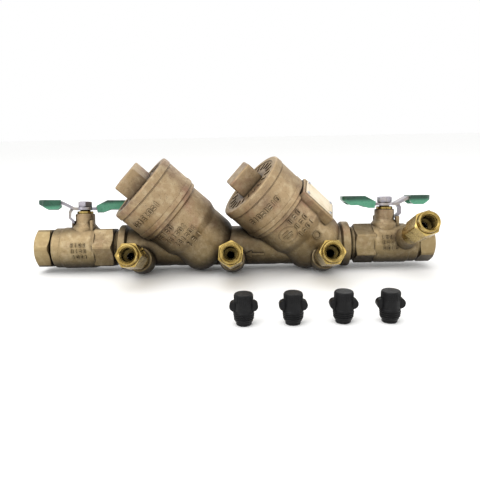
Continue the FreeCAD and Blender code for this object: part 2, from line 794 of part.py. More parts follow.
def save_cocks():
    """The four test cocks."""
    frames = {
        name: (BODY.multiply(cock_place(x, COCK_ROOT, COCK_ELEVATION)), 0.0)
        for name, x in COCK_X.items()
    }
    inlet_frame = cock_place(INLET_COCK_X, (0, 0), INLET_COCK_ELEVATION)
    frames["testcock4"] = (VALVE["inlet"].multiply(inlet_frame), COCK_BOSS_END - 31.0)
    for name, (frame, shift) in sorted(frames.items()):
        twist = COCK_TWIST[name]
        save(name + "_body", moved(cock_body(twist, shift), frame))
        save(name + "_spindle", moved(cock_spindle(twist, shift), frame))
        save(name + "_seats", moved(cock_seats(shift), frame))


def main():
    """Writes every node."""
    save("body_casting", moved(body_casting(), BODY))
    save_checks()
    save_valves()
    save_cocks()
    on_pad = BODY.multiply(check_place("check1"))
    save("nameplate", moved(nameplate(), on_pad))
    save("nameplate_screws", moved(plate_screws(), on_pad))
    for i, (x, y) in enumerate(PLUG_SPOTS):
        save("plug_%d" % (i + 1), cock_plug().translated(Vector(x, y + CENTRE_Y, 0)))


main()
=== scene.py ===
"""Looks of the double-check backflow preventer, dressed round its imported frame."""

import json
import logging
import math
from dataclasses import dataclass, field
from enum import Enum
from typing import Iterable, Union

import bpy
from mathutils import Matrix, Vector


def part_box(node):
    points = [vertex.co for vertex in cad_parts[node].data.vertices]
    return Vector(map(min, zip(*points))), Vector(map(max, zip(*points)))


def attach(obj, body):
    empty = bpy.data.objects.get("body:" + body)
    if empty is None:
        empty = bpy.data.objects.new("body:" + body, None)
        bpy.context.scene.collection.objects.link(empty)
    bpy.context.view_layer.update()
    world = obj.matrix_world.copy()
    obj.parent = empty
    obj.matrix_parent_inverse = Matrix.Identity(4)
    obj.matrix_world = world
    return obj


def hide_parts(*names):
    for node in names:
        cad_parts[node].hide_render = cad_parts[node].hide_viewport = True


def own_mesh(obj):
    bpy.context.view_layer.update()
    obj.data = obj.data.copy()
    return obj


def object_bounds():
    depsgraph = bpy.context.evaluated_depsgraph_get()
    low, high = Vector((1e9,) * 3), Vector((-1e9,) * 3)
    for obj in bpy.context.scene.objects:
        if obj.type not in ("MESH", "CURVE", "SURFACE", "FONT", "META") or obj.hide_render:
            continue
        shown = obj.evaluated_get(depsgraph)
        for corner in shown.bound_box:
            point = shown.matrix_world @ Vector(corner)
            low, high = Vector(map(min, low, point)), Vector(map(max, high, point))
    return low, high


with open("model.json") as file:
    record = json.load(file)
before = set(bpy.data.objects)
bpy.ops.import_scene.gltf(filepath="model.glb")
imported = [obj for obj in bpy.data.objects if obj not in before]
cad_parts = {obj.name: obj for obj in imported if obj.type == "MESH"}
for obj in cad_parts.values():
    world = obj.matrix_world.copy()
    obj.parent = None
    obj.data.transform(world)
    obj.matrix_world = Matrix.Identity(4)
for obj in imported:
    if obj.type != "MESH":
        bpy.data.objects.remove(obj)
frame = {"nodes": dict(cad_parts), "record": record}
CAD_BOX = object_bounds()

LOG = logging.getLogger("backflow_preventer")
MM = 0.001
Input = Union[float, tuple, bpy.types.NodeSocket]
Block = tuple[Matrix, tuple[float, float, float]]

# Driving sizes of the frame, in millimetres.
PIPE_HEIGHT = 21.0
PIPE_BACK = 54.1
CHECK1_ALONG = 73.5
CHECK2_ALONG = -20.5
BODY_ROLL = 12.0
CHECK_TILT = -46.0
COVER_R = 32.5
CHAMBER_R = 29.5
NECK_R = 17.5
BARREL_R = 17.3
PIPE_BORE_R = 12.25
SHOULDER_R = 14.8
COCK_BORE_R = 5.9
PLUG_HEIGHT = 21.0
EMBOSS = 0.8
EMBOSS_FOOT = 0.5
EMBOSS_SINK = 0.35
MARK_ROUND = 0.15

# Limits between which noise and tilt are stretched in the finishes.
SMEAR_RANGE = (0.3, 0.7)
UPRIGHT_RANGE = (0.3, 0.75)
GRAIN_ROUGHNESS = 0.62


class Slot(Enum):
    """Material slots of the record."""

    CASTING = "bronze_casting"
    MACHINED = "bronze_machined"
    BRASS = "brass"
    CHROME = "chromed_brass"
    ZINC = "zinc_steel"
    STAINLESS = "stainless"
    VINYL = "green_vinyl"
    RUBBER = "black_rubber"
    PTFE = "ptfe"
    ACETAL = "acetal"
    PLUG = "black_plastic"
    PLATE = "cream_plate"


class Side(Enum):
    """Which side of a round wall a thread ridge stands on."""

    INSIDE = -1
    OUTSIDE = 1


class Mark(Enum):
    """Plain raised foundry marks, as bars of (across, along, width, height) in millimetres."""

    BAR = ((0.0, 0.0, 0.7, 3.2),)
    TWIN = ((-0.6, 0.0, 0.6, 3.2), (0.6, 0.0, 0.6, 3.2))
    STACK = ((0.0, 1.3, 1.9, 0.6), (0.0, 0.0, 1.9, 0.6), (0.0, -1.3, 1.9, 0.6))
    PAIR = ((0.0, 0.8, 2.0, 0.8), (0.0, -0.9, 2.0, 0.8))
    FRAME = (
        (-0.8, 0.0, 0.5, 3.2),
        (0.8, 0.0, 0.5, 3.2),
        (0.0, 1.35, 1.9, 0.5),
        (0.0, -1.35, 1.9, 0.5),
    )
    DOTS = ((0.0, 1.1, 1.0, 1.0), (0.0, -1.1, 1.0, 1.0))


# ---------------------------------------------------------------- small tools


def linear(hex_colour: str) -> tuple[float, float, float, float]:
    """Turns an sRGB hex colour into the linear colour Blender wants.

    Args:
        hex_colour: Six hex digits, with or without a leading hash.

    Returns:
        Linear red, green, blue and an alpha of one.
    """
    digits = hex_colour.lstrip("#")
    parts = [int(digits[i : i + 2], 16) / 255 for i in (0, 2, 4)]
    red, green, blue = (c / 12.92 if c <= 0.04045 else ((c + 0.055) / 1.055) ** 2.4 for c in parts)
    return (red, green, blue, 1.0)


def move(x: float = 0.0, y: float = 0.0, z: float = 0.0) -> Matrix:
    """A shift in millimetres, as a matrix in metres."""
    return Matrix.Translation(Vector((x, y, z)) * MM)


def turn(axis: str, degrees: float) -> Matrix:
    """A turn about one of the axes."""
    return Matrix.Rotation(math.radians(degrees), 4, axis)


def pointing(position: Vector, direction: Vector) -> Matrix:
    """A place whose Z runs along a direction.

    Args:
        position: The place's origin in metres.
        direction: Where its Z points.

    Returns:
        The place as a matrix.
    """
    return Matrix.Translation(position) @ direction.to_track_quat("Z", "Y").to_matrix().to_4x4()


def piece(
    name: str, points: list[Vector], faces: list[tuple], smooth: bool = True
) -> bpy.types.Object:
    """Makes one mesh object.

    Args:
        name: The piece's name.
        points: Its vertices in metres.
        faces: Its faces as tuples of vertex numbers.
        smooth: Whether its faces are shaded smooth.

    Returns:
        The new object, linked to the scene.
    """
    mesh = bpy.data.meshes.new(name)
    mesh.from_pydata([tuple(p) for p in points], [], faces)
    mesh.validate()
    mesh.update()
    for polygon in mesh.polygons:
        polygon.use_smooth = smooth
    made = bpy.data.objects.new(name, mesh)
    bpy.context.scene.collection.objects.link(made)
    return made


@dataclass(frozen=True)
class Thread:
    """A screw thread's ridge on a round wall, with sizes in millimetres."""

    radius: float
    pitch: float
    length: float
    depth: float
    side: Side
    taper: float = 0.0

    def ridge(self, name: str, place: Matrix) -> bpy.types.Object:
        """Winds the ridge along Z.

        Args:
            name: The piece's name.
            place: The thread's frame: Z along its axis, from its first turn.

        Returns:
            The ridge as one closed mesh.
        """
        steps_a_turn, run_out, sunk, flat = 40, 12, 0.06, 0.06
        steps = int(self.length / self.pitch * steps_a_turn)
        half = self.pitch * 0.42
        points: list[Vector] = []
        for i in range(steps + 1):
            angle = 2 * math.pi * i / steps_a_turn
            height = i / steps_a_turn * self.pitch
            ease = min(1.0, i / run_out, (steps - i) / run_out)
            wall = self.radius + self.taper * height - self.side.value * sunk
            crest = wall + self.side.value * (sunk + self.depth * ease)
            section = ((wall, -half), (crest, -flat), (crest, flat), (wall, half))
            for r, rise in section:
                spot = Vector((r * math.cos(angle), r * math.sin(angle), height + rise))
                points.append(place @ (spot * MM))
        last = 4 * steps
        faces: list[tuple] = [(0, 1, 2, 3), (last + 3, last + 2, last + 1, last)]
        for i in range(steps):
            for j in range(4):
                k = (j + 1) % 4
                faces.append((4 * i + j, 4 * i + 4 + j, 4 * i + 4 + k, 4 * i + k))
        if self.side is Side.INSIDE:
            faces = [face[::-1] for face in faces]
        return piece(name, points, faces)


def blocks(name: str, places: Iterable[Block], round_off: float) -> bpy.types.Object:
    """Makes one mesh of small round-edged blocks.

    Args:
        name: The piece's name.
        places: Each block's frame and its sizes in millimetres along that frame's axes.
        round_off: Bevel width in millimetres.

    Returns:
        The blocks as one object.
    """
    points: list[Vector] = []
    faces: list[tuple] = []
    corners = [(x, y, z) for x in (-0.5, 0.5) for y in (-0.5, 0.5) for z in (-0.5, 0.5)]
    sides = [(0, 1, 3, 2), (4, 6, 7, 5), (0, 4, 5, 1), (2, 3, 7, 6), (0, 2, 6, 4), (1, 5, 7, 3)]
    for place, size in places:
        first = len(points)
        for x, y, z in corners:
            points.append(place @ (Vector((x * size[0], y * size[1], z * size[2])) * MM))
        faces += [tuple(first + k for k in side) for side in sides]
    made = piece(name, points, faces)
    bevel = made.modifiers.new("round_off", "BEVEL")
    bevel.width = round_off * MM
    bevel.segments = 2
    bevel.limit_method = "ANGLE"
    return made


def hoop_faces(around: int, across: int) -> list[tuple]:
    """Faces of a closed hoop of points.

    Args:
        around: Sections round the hoop.
        across: Points in each section.

    Returns:
        Quads that join each section to the next.
    """
    faces = []
    for i in range(around):
        here, after = i * across, (i + 1) % around * across
        for j in range(across):
            k = (j + 1) % across
            faces.append((here + j, after + j, after + k, here + k))
    return faces


def ring(name: str, place: Matrix, radius: float, thick: float) -> bpy.types.Object:
    """Makes a round bead lying in its frame's X-Y plane.

    Args:
        name: The piece's name.
        place: The ring's frame.
        radius: Radius of its centre line in millimetres.
        thick: Radius of its section in millimetres.

    Returns:
        The ring.
    """
    around, across = 56, 10
    points = []
    for i in range(around):
        a = 2 * math.pi * i / around
        for j in range(across):
            b = 2 * math.pi * j / across
            r = radius + thick * math.cos(b)
            spot = Vector((r * math.cos(a), r * math.sin(a), thick * math.sin(b)))
            points.append(place @ (spot * MM))
    return piece(name, points, hoop_faces(around, across))


# ---------------------------------------------------------------- materials


def node(
    tree: bpy.types.NodeTree, kind: str, inputs: dict | None = None, **settings: object
) -> bpy.types.Node:
    """Adds one node with its settings and links.

    Args:
        tree: The node tree it goes in.
        kind: The node's type.
        inputs: Values or sockets for its inputs, by name or number.
        settings: Properties of the node.

    Returns:
        The new node.
    """
    made = tree.nodes.new(kind)
    for key, value in settings.items():
        setattr(made, key, value)
    for key, value in (inputs or {}).items():
        if isinstance(value, bpy.types.NodeSocket):
            tree.links.new(value, made.inputs[key])
        else:
            made.inputs[key].default_value = value
    return made


@dataclass(frozen=True)
class Patches:
    """Cloudy patches of one colour, of about a real size."""

    colour: str
    size_mm: float
    start: float
    end: float
    cover: float
    detail: float = 4.0

    def mask(self, tree: bpy.types.NodeTree, place: bpy.types.NodeSocket) -> bpy.types.NodeSocket:
        """Where the patches lie.

        Args:
            tree: The node tree.
            place: Coordinates in metres.

        Returns:
            A factor from none to the full cover.
        """
        inputs = {"Vector": place, "Scale": 1 / (self.size_mm * MM), "Detail": self.detail}
        cloud = node(tree, "ShaderNodeTexNoise", inputs).outputs["Fac"]
        limits = {"From Min": self.start, "From Max": self.end, "To Max": self.cover}
        return node(tree, "ShaderNodeMapRange", {"Value": cloud, **limits}).outputs[0]


@dataclass(frozen=True)
class ShadedHollows:
    """Painted shade that darkens hollows narrower than a reach."""

    colour: str
    reach_mm: float
    shut: float
    open: float
    cover: float

    def mask(self, tree: bpy.types.NodeTree, place: bpy.types.NodeSocket) -> bpy.types.NodeSocket:
        """Where the hollows are.

        Args:
            tree: The node tree.
            place: Coordinates in metres; not used.

        Returns:
            A factor from none to the full cover.
        """
        reach = {"Distance": self.reach_mm * MM}
        openness = node(tree, "ShaderNodeAmbientOcclusion", reach, samples=6).outputs["AO"]
        inputs = {"Value": openness, "From Min": self.shut, "From Max": self.open}
        inputs.update({"To Min": self.cover, "To Max": 0.0})
        return node(tree, "ShaderNodeMapRange", inputs).outputs[0]


@dataclass(frozen=True)
class LowZone:
    """A colour that comes in below a height and is full at a lower one."""

    colour: str
    full_mm: float
    none_mm: float
    cover: float

    def mask(self, tree: bpy.types.NodeTree, place: bpy.types.NodeSocket) -> bpy.types.NodeSocket:
        """Where the surface is low.

        Args:
            tree: The node tree.
            place: Coordinates in metres.

        Returns:
            A factor from none to the full cover.
        """
        height = node(tree, "ShaderNodeSeparateXYZ", {"Vector": place}).outputs["Z"]
        inputs = {"Value": height, "From Min": self.full_mm * MM, "From Max": self.none_mm * MM}
        inputs.update({"To Min": self.cover, "To Max": 0.0})
        return node(tree, "ShaderNodeMapRange", inputs).outputs[0]


@dataclass(frozen=True)
class LitSkirt:
    """Painted light: a paler colour on upright faces below a height, the lit skirts of the wings.
    """

    colour: str
    low: LowZone

    def mask(self, tree: bpy.types.NodeTree, place: bpy.types.NodeSocket) -> bpy.types.NodeSocket:
        """Where faces are both upright and low.

        Args:
            tree: The node tree.
            place: Coordinates in metres.

        Returns:
            A factor from none to the full cover.
        """
        facing = node(tree, "ShaderNodeNewGeometry").outputs["Normal"]
        up = node(tree, "ShaderNodeSeparateXYZ", {"Vector": facing}).outputs["Z"]
        level = node(tree, "ShaderNodeMath", {0: up}, operation="ABSOLUTE").outputs[0]
        inputs = {"Value": level, "From Min": UPRIGHT_RANGE[0], "From Max": UPRIGHT_RANGE[1]}
        inputs.update({"To Min": 1.0, "To Max": 0.0})
        upright = node(tree, "ShaderNodeMapRange", inputs).outputs[0]
        both = {0: upright, 1: self.low.mask(tree, place)}
        return node(tree, "ShaderNodeMath", both, operation="MULTIPLY").outputs[0]


@dataclass(frozen=True)
class Grain:
    """A relief of a real size and depth, stretched along the axes if asked."""

    size_mm: float
    deep_mm: float
    strength: float = 0.5
    detail: float = 4.0
    stretch: tuple[float, float, float] = (1.0, 1.0, 1.0)

    def relief(
        self,
        tree: bpy.types.NodeTree,
        place: bpy.types.NodeSocket,
        under: bpy.types.NodeSocket | None,
    ) -> bpy.types.NodeSocket:
        """Adds the relief.

        Args:
            tree: The node tree.
            place: Coordinates in metres.
            under: The relief it lies on, if any.

        Returns:
            The new normal.
        """
        stretched = {"Vector": place, "Scale": self.stretch}
        drawn_out = node(tree, "ShaderNodeMapping", stretched).outputs[0]
        inputs = {"Vector": drawn_out, "Scale": 1 / (self.size_mm * MM)}
        inputs.update({"Detail": self.detail, "Roughness": GRAIN_ROUGHNESS})
        height = node(tree, "ShaderNodeTexNoise", inputs).outputs["Fac"]
        bump = {"Height": height, "Distance": self.deep_mm * MM, "Strength": self.strength}
        if under is not None:
            bump["Normal"] = under
        return node(tree, "ShaderNodeBump", bump).outputs[0]


@dataclass(frozen=True)
class Finish:
    """A real material and how its surface was made.

    Its layers are laid over its colour in order, its roughness drifts between smooth and
    dull, and fixed holds what is set on the shader's own sockets.
    """

    name: str
    colour: str
    layers: tuple[Union[Patches, ShadedHollows, LowZone, LitSkirt], ...]
    grains: tuple[Grain, ...]
    smooth: float
    dull: float
    smear_mm: float = 2.0
    fixed: tuple[tuple[str, float], ...] = ()

    def material(self) -> bpy.types.Material:
        """Builds the material.

        Returns:
            The material, with its whole node tree.
        """
        made = bpy.data.materials.new(self.name)
        made.use_nodes = True
        tree = made.node_tree
        tree.nodes.clear()
        place = node(tree, "ShaderNodeTexCoord").outputs["Object"]
        colour: Input = linear(self.colour)
        for layer in self.layers:
            mixed = {0: layer.mask(tree, place), 6: colour, 7: linear(layer.colour)}
            colour = node(tree, "ShaderNodeMix", mixed, data_type="RGBA").outputs[2]
        cloudy = {"Vector": place, "Scale": 1 / (self.smear_mm * MM), "Detail": 5.0}
        smear = node(tree, "ShaderNodeTexNoise", cloudy).outputs["Fac"]
        drift = {"Value": smear, "From Min": SMEAR_RANGE[0], "From Max": SMEAR_RANGE[1]}
        drift.update({"To Min": self.smooth, "To Max": self.dull})
        roughness = node(tree, "ShaderNodeMapRange", drift).outputs[0]
        surface: dict = {"Base Color": colour, "Roughness": roughness}
        normal = None
        for grain in self.grains:
            normal = grain.relief(tree, place, normal)
        if normal is not None:
            surface["Normal"] = normal
        surface.update(dict(self.fixed))
        shader = node(tree, "ShaderNodeBsdfPrincipled", surface)
        node(tree, "ShaderNodeOutputMaterial", {"Surface": shader.outputs[0]})
        return made


METAL = (("Metallic", 1.0),)

# Sand cast red bronze, bead blasted: a matt, grainy skin in tans, with browner and redder
# clouds, painted floor light as an olive tint low down, and painted shade in the corners.
# The grit is drawn near 1 mm, coarser than real, so it shows.
CAST_BRONZE = Finish(
    name="sand cast red bronze",
    colour="#a38c6b",
    layers=(
        Patches("#87705a", 24.0, 0.5, 0.64, 0.75, 3.0),
        Patches("#94705c", 17.0, 0.54, 0.7, 0.6, 3.0),
        # Painted light: an olive tint towards the bottom, for light thrown up from the floor.
        LowZone("#988a5a", 8.0, 52.0, 0.5),
        Patches("#c9b897", 5.0, 0.48, 0.7, 0.4, 5.0),
        Patches("#2a2016", 0.9, 0.54, 0.74, 0.42, 5.0),
        # Painted shade: between the chambers and under the covers, and round the raised marks.
        ShadedHollows("#1c140c", 42.0, 0.22, 0.86, 0.96),
        ShadedHollows("#1c140c", 2.5, 0.45, 0.95, 0.8),
    ),
    grains=(Grain(2.4, 0.35, 0.5, 3.0), Grain(0.9, 0.22, 0.75, 5.0)),
    smooth=0.4,
    dull=0.6,
    smear_mm=3.0,
    fixed=(("Metallic", 0.72),),
)

# The same bronze cut on a lathe: yellower, smoother, faint tool rings, painted shade in hollows.
CUT_BRONZE = Finish(
    name="red bronze, machined",
    colour="#9c8862",
    layers=(
        Patches("#7f6a4c", 18.0, 0.48, 0.66, 0.75, 3.0),
        Patches("#bfae86", 5.0, 0.5, 0.7, 0.4, 5.0),
        ShadedHollows("#1a1209", 30.0, 0.22, 0.86, 0.95),
        ShadedHollows("#1a1209", 2.5, 0.45, 0.95, 0.8),
    ),
    grains=(Grain(0.9, 0.08, 0.5, 4.0, (0.3, 1.0, 1.0)),),
    smooth=0.34,
    dull=0.5,
    fixed=(("Metallic", 0.85),),
)

# Yellow brass bar, turned and milled: bright edges, brown stain, and painted shade that makes
# the bores nearly black. The tool rings are drawn near half a millimetre apart so that they show.
TURNED_BRASS = Finish(
    name="yellow brass, turned",
    colour="#bba262",
    layers=(
        Patches("#8f763c", 7.0, 0.42, 0.6, 0.8),
        ShadedHollows("#120c04", 11.0, 0.3, 0.85, 0.92),
        ShadedHollows("#120c04", 1.6, 0.5, 0.95, 0.7),
    ),
    grains=(Grain(0.45, 0.04, 0.5, 2.0, (1.0, 0.25, 1.0)),),
    smooth=0.2,
    dull=0.36,
    smear_mm=1.6,
    fixed=METAL,
)

# Chrome on brass: close to a mirror, with the faintest drift in gloss and painted shade in hollows.
CHROME_BALL = Finish(
    name="chromed brass ball",
    colour="#cfd0d2",
    layers=(Patches("#bfc1c4", 7.0, 0.4, 0.6, 0.8), ShadedHollows("#4c4c50", 4.0, 0.3, 0.85, 0.8)),
    grains=(Grain(0.8, 0.01, 0.3, 2.0),),
    smooth=0.06,
    dull=0.12,
    fixed=METAL,
)

# Bright zinc on stamped steel: pale, with cool and warm drifts, tiny spangle and painted shade.
ZINC_STEEL = Finish(
    name="bright zinc plated steel",
    colour="#a09ba2",
    layers=(
        Patches("#868b9a", 6.0, 0.5, 0.66, 0.8, 3.0),
        Patches("#b3a893", 8.0, 0.52, 0.68, 0.6, 3.0),
        ShadedHollows("#332f30", 6.0, 0.3, 0.9, 0.85),
    ),
    grains=(Grain(0.5, 0.03, 0.5, 3.0),),
    smooth=0.26,
    dull=0.44,
    smear_mm=1.2,
    fixed=(("Metallic", 0.95),),
)

# Drawn stainless wire and screws: grey and clean, with painted shade in their hollows.
STAINLESS = Finish(
    name="stainless steel, drawn",
    colour="#b8b8ba",
    layers=(Patches("#a0a0a4", 4.0, 0.45, 0.6, 0.7), ShadedHollows("#3c3c3e", 3.0, 0.3, 0.85, 0.8)),
    grains=(Grain(0.4, 0.02, 0.4, 2.0),),
    smooth=0.2,
    dull=0.35,
    fixed=METAL,
)

# Plastisol dip on the wings: deep green and glossy, with painted light on the paler skirts.
DIPPED_VINYL = Finish(
    name="dipped green vinyl",
    colour="#0b3a28",
    layers=(
        Patches("#135038", 9.0, 0.42, 0.6, 0.8, 2.0),
        LitSkirt("#4f9576", LowZone("#4f9576", 58.8, 61.4, 0.85)),
        Patches("#0b3a28", 12.0, 0.56, 0.72, 0.35, 2.0),
    ),
    grains=(Grain(3.5, 0.12, 0.4, 2.0),),
    smooth=0.24,
    dull=0.36,
    fixed=(("Coat Weight", 0.25), ("Coat Roughness", 0.12)),
)

# Moulded nitrile rubber: soft black with a dusty bloom.
NITRILE = Finish(
    name="black nitrile rubber",
    colour="#101011",
    layers=(Patches("#1e1e20", 4.0, 0.42, 0.64, 0.8, 3.0),),
    grains=(Grain(0.6, 0.04, 0.5, 3.0),),
    smooth=0.5,
    dull=0.68,
)

# Turned ptfe seats: waxy white, with painted shade in their hollows.
PTFE_SEATS = Finish(
    name="white ptfe, turned",
    colour="#dedcd6",
    layers=(Patches("#efeee9", 4.0, 0.42, 0.64, 0.8, 3.0), ShadedHollows("#8d8a82", 4.0, 0.3, 0.9, 0.6)),
    grains=(Grain(0.9, 0.02, 0.4, 3.0),),
    smooth=0.4,
    dull=0.5,
)

# Moulded acetal check parts: dense charcoal with a slight sheen.
ACETAL = Finish(
    name="dark acetal, moulded",
    colour="#1d1e20",
    layers=(Patches("#2b2c2f", 5.0, 0.42, 0.64, 0.8, 3.0),),
    grains=(Grain(0.9, 0.02, 0.4, 3.0),),
    smooth=0.35,
    dull=0.48,
)

# Moulded polypropylene plugs: deep black, low shine, greyer where they have rubbed.
PLUG_BLACK = Finish(
    name="black polypropylene, moulded",
    colour="#040405",
    layers=(Patches("#101012", 3.0, 0.5, 0.7, 0.8, 4.0),),
    grains=(Grain(0.6, 0.06, 0.5, 3.0),),
    smooth=0.38,
    dull=0.54,
    fixed=(("Specular IOR Level", 0.22),),
)

# Enamel on thin aluminium: flat cream with slight yellowing and painted shade in its corners.
CREAM_ENAMEL = Finish(
    name="cream enamelled aluminium",
    colour="#e3d5bb",
    layers=(Patches("#d3c19f", 8.0, 0.48, 0.68, 0.6, 4.0), ShadedHollows("#6e5d43", 2.0, 0.4, 0.95, 0.6)),
    grains=(Grain(0.9, 0.02, 0.4, 3.0),),
    smooth=0.42,
    dull=0.55,
)

# Matt white paper sweep.
PALE_SWEEP = Finish(
    name="white paper sweep",
    colour="#fbfbfa",
    layers=(),
    grains=(),
    smooth=0.88,
    dull=0.92,
)

FINISHES = {
    Slot.CASTING: CAST_BRONZE,
    Slot.MACHINED: CUT_BRONZE,
    Slot.BRASS: TURNED_BRASS,
    Slot.CHROME: CHROME_BALL,
    Slot.ZINC: ZINC_STEEL,
    Slot.STAINLESS: STAINLESS,
    Slot.VINYL: DIPPED_VINYL,
    Slot.RUBBER: NITRILE,
    Slot.PTFE: PTFE_SEATS,
    Slot.ACETAL: ACETAL,
    Slot.PLUG: PLUG_BLACK,
    Slot.PLATE: CREAM_ENAMEL,
}


@dataclass
class Finisher:
    """Makes each finish once and puts it on pieces."""

    made: dict[Slot, bpy.types.Material] = field(default_factory=dict)

    def material(self, slot: Slot) -> bpy.types.Material:
        """The material of a slot, made when first asked for.

        Args:
            slot: The slot of the record.

        Returns:
            Its material.
        """
        if slot not in self.made:
            self.made[slot] = FINISHES[slot].material()
        return self.made[slot]

    def dress_frame(self) -> None:
        """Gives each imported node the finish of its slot."""
        for part in frame["record"]["subparts"]:
            slot = Slot(part["material_slot"])
            packed = frame["nodes"][part["node"]]
            packed.data.materials.clear()
            packed.data.materials.append(self.material(slot))

    def add(self, made: bpy.types.Object, slot: Slot, body: str) -> bpy.types.Object:
        """Finishes a new piece and fixes it to a body.

        Args:
            made: The new piece.
            slot: Its material slot.
            body: The body it rides on.

        Returns:
            The piece.
        """
        made.data.materials.append(self.material(slot))
        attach(made, body)
        LOG.info("added %s on %s", made.name, body)
        return made


# ---------------------------------------------------------------- sub-assemblies


def mount(name: str) -> tuple[Vector, Vector]:
    """Position and axis of one of the record's mounts.

    Args:
        name: The mount's name.

    Returns:
        Its position in metres, and its axis as a unit vector.
    """
    found = next(m for m in frame["record"]["mounts"] if m["name"] == name)
    return Vector(found["pos_m"]), Vector(found["axis"]).normalized()


BODY_PLACE = move(0, PIPE_BACK, PIPE_HEIGHT) @ turn("X", BODY_ROLL)


def check_place(along_pipe: float) -> Matrix:
    """A check's frame: Z along its axis, origin on the pipe axis."""
    return BODY_PLACE @ move(along_pipe) @ turn("Y", CHECK_TILT)


def wrapped(place: Matrix, radius: float, along: float, degrees: float) -> Matrix:
    """A frame on a round wall: X round it, Y along it and Z out of it.

    Args:
        place: The wall's frame, with Z along its axis.
        radius: The wall's radius in millimetres.
        along: Height along the axis in millimetres.
        degrees: Angle round the axis.

    Returns:
        The frame.
    """
    upright = Matrix(((0, 0, 1, 0), (1, 0, 0, 0), (0, 1, 0, 0), (0, 0, 0, 1)))
    return place @ turn("Z", degrees) @ move(radius, 0, along) @ upright


def raised(spot: Matrix, mark: Mark, tall: float = 1.0) -> list[Block]:
    """One raised mark as blocks.

    Args:
        spot: The mark's frame, with Z out of the wall.
        mark: Its shape.
        tall: Scale of the mark.

    Returns:
        Frames and sizes for blocks().
    """
    found = []
    for across, up, width, height in mark.value:
        at = spot @ move(across * tall, up * tall, EMBOSS / 2 - EMBOSS_SINK)
        found.append((at, (width * tall, height * tall, EMBOSS + EMBOSS_FOOT)))
    return found


def foundry_row(
    place: Matrix,
    radius: float,
    along: float,
    degrees: list[float],
    marks: list[Mark],
    tall: float = 1.0,
) -> list[Block]:
    """One row of raised marks round a wall, as blocks.

    Args:
        place: The wall's frame.
        radius: The wall's radius in millimetres.
        along: Height of the row along the axis.
        degrees: Angle of each mark.
        marks: Shape of each mark, repeated as needed.
        tall: Scale of the marks.

    Returns:
        Frames and sizes for blocks().
    """
    found = []
    for i, angle in enumerate(degrees):
        found += raised(wrapped(place, radius, along, angle), marks[i % len(marks)], tall)
    return found


def spread(start: float, end: float, count: int) -> list[float]:
    """Evenly spaced angles from start to end."""
    return [start + (end - start) * i / (count - 1) for i in range(count)]


@dataclass(frozen=True)
class Badge:
    """A plain raised oval with bars inside it, with sizes in millimetres."""

    along: float = 36.0
    degrees: float = -97.0
    half_width: float = 8.4
    half_height: float = 6.6
    rim: float = 0.055
    rise: float = 0.3
    bars: tuple[tuple[float, float], ...] = ((38.6, 6.0), (36.0, 9.5), (33.4, 6.0))
    bar_size: tuple[float, float] = (0.8, 1.0)

    def rim_points(self, place: Matrix, around: int, across: int) -> list[Vector]:
        """Points of the oval's bead on the chamber wall.

        Args:
            place: The check's frame.
            around: Sections round the oval.
            across: Points in each section.

        Returns:
            The points, section by section.
        """
        points: list[Vector] = []
        for i in range(around):
            a = 2 * math.pi * i / around
            for j in range(across):
                b = 2 * math.pi * j / across
                reach = 1.0 + self.rim * math.cos(b)
                swing = math.degrees(self.half_width * reach * math.cos(a) / CHAMBER_R)
                along = self.along + self.half_height * reach * math.sin(a)
                radius = CHAMBER_R + self.rise * math.sin(b)
                points.append(wrapped(place, radius, along, self.degrees + swing).translation)
        return points

    def build(self, name: str, finisher: Finisher, place: Matrix) -> None:
        """Adds the oval and its bars.

        Args:
            name: Start of the pieces' names.
            finisher: What finishes the pieces.
            place: The check's frame.
        """
        around, across = 64, 8
        points = self.rim_points(place, around, across)
        faces = [face[::-1] for face in hoop_faces(around, across)]
        finisher.add(piece(name + "_badge_ring", points, faces), Slot.CASTING, "device")
        bars = []
        for along, length in self.bars:
            bars.append((wrapped(place, CHAMBER_R, along, self.degrees), (length, *self.bar_size)))
        finisher.add(blocks(name + "_badge_bars", bars, MARK_ROUND), Slot.CASTING, "device")


@dataclass
class CheckDressing:
    """Foundry marks on one check's cover and chamber."""

    name: str
    along_pipe: float
    cover_marks: list[Mark]
    cover_span: tuple[float, float, int]
    chamber_rows: list[tuple[float, float, float, int]]
    badge: Badge | None = None
    row_along: float = 65.0
    row_sunk: float = 0.5
    row_tall: float = 1.5
    chamber_tall: float = 1.35

    def build(self, finisher: Finisher) -> None:
        """Adds the marks, and the plain badge where there is one.

        Args:
            finisher: What finishes the pieces.
        """
        place = check_place(self.along_pipe)
        angles = spread(*self.cover_span)
        wall = COVER_R - self.row_sunk
        row = foundry_row(place, wall, self.row_along, angles, self.cover_marks, self.row_tall)
        made = blocks(self.name + "_cover_marks", row, MARK_ROUND)
        finisher.add(made, Slot.CASTING, "device")
        rows = []
        marks = self.cover_marks[::-1]
        for along, start, end, count in self.chamber_rows:
            angles = spread(start, end, count)
            rows += foundry_row(place, CHAMBER_R, along, angles, marks, self.chamber_tall)
        made = blocks(self.name + "_chamber_marks", rows, MARK_ROUND)
        finisher.add(made, Slot.CASTING, "device")
        if self.badge:
            self.badge.build(self.name, finisher, place)


